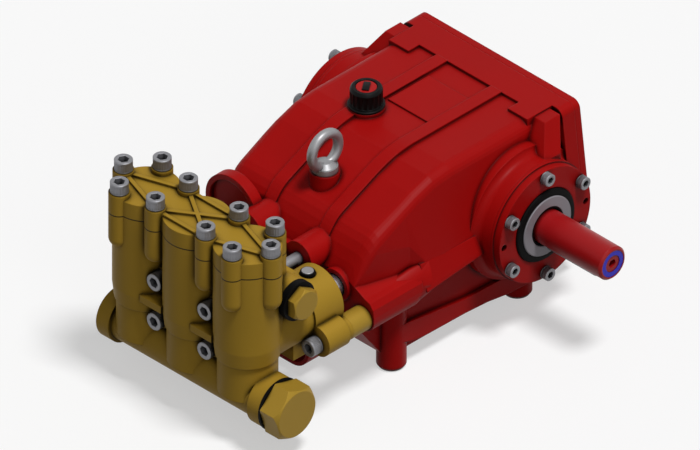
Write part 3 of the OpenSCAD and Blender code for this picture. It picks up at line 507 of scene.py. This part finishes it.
def seen_share(tree):
    """1 for what is seen, straight on, in a gloss or through glass, and 0 for what lights the pump."""
    ray = add(tree, "ShaderNodeLightPath").outputs
    seen = ray["Is Camera Ray"]
    for other in ("Is Glossy Ray", "Is Transmission Ray"):
        seen = add(tree, "ShaderNodeMath", {"operation": "MAXIMUM"}, {0: seen, 1: ray[other]}).outputs[0]
    return seen


floor_sheet = bmesh.new()
bmesh.ops.create_grid(floor_sheet, x_segments=1, y_segments=1, size=FLOOR_SIZE / 2)
bmesh.ops.translate(floor_sheet, vec=(0, 0, -FLOOR_DROP), verts=floor_sheet.verts)
floor_mesh = bpy.data.meshes.new("floor")
floor_sheet.to_mesh(floor_mesh)
floor_sheet.free()
floor = bpy.data.objects.new("floor", floor_mesh)
scene.collection.objects.link(floor)
floor_paint = bpy.data.materials.new("pale_floor")
floor_paint.use_nodes = True
tree = floor_paint.node_tree
tree.nodes.clear()
seen = seen_share(tree)
tint = add(tree, "ShaderNodeMix",
           {"data_type": "RGBA", 6: linear(FLOOR_BOUNCE), 7: linear(FLOOR_SEEN)}, {0: seen})
matt = add(tree, "ShaderNodeBsdfDiffuse", (), {"Color": tint.outputs[2]})
glow = add(tree, "ShaderNodeEmission", {"Color": linear(WHITE)}, {"Strength": seen})
half_glow = add(tree, "ShaderNodeMixShader", {0: 0.5}, {1: matt.outputs[0], 2: glow.outputs[0]})
add(tree, "ShaderNodeOutputMaterial", (), {"Surface": half_glow.outputs[0]})
floor_mesh.materials.append(floor_paint)


# Soft even daylight all round, a broad lamp high above the drive side, and a weak one lower down in
# front of it that keeps the shaded walls open.
SKY_LEVEL = 0.11
world = bpy.data.worlds.new("studio")
scene.world = world
world.use_nodes = True
tree = world.node_tree
tree.nodes.clear()
level = add(tree, "ShaderNodeMapRange", {"To Min": SKY_LEVEL, "To Max": 1.0},
            {"Value": seen_share(tree)})
sky = add(tree, "ShaderNodeBackground", {"Color": linear(WHITE)}, {"Strength": level.outputs["Result"]})
add(tree, "ShaderNodeOutputWorld", (), {"Surface": sky.outputs[0]})


def sun(name, towards, strength, angle):
    """A lamp far away that shines from the given side."""
    data = bpy.data.lights.new(name, "SUN")
    data.energy = strength
    data.angle = math.radians(angle)
    lamp = bpy.data.objects.new(name, data)
    lamp.rotation_euler = Vector(towards).to_track_quat("Z", "Y").to_euler()
    scene.collection.objects.link(lamp)


sun("key", (0.36, 0.0, 1.0), 2.55, 14)
sun("fill", (1.0, -0.55, 0.7), 0.35, 30)


# The camera is level with the drawing: a straight isometric view with no perspective. The middle of
# the pump on the shaft's axis stands at its pixel of the picture.
PIXELS_PER_METRE = 1064.3
PICTURE_WIDTH = 700
SHAFT_PIXEL = (441.8, 165.15)
PICTURE_CENTRE = (350, 225)
CAMERA_AWAY = 2
CAMERA_REACH = 20
shaft_centre = Vector((0, (shaft_low.y + shaft_high.y) / 2, (shaft_low.z + shaft_high.z) / 2))
right = Vector((1, 1, 0)).normalized()
up = Vector((-1, 1, 2)).normalized()
back = right.cross(up)
across = (SHAFT_PIXEL[0] - PICTURE_CENTRE[0]) / PIXELS_PER_METRE
above = (PICTURE_CENTRE[1] - SHAFT_PIXEL[1]) / PIXELS_PER_METRE
camera_data = bpy.data.cameras.new("camera")
camera_data.type = "ORTHO"
camera_data.ortho_scale = PICTURE_WIDTH / PIXELS_PER_METRE
camera_data.clip_end = CAMERA_REACH
camera = bpy.data.objects.new("camera", camera_data)
stand = shaft_centre - across * right - above * up + CAMERA_AWAY * back
camera.matrix_world = Matrix.Translation(stand) @ Matrix((right, up, back)).transposed().to_4x4()
scene.collection.objects.link(camera)
scene.camera = camera

scene.view_settings.view_transform = "Standard"
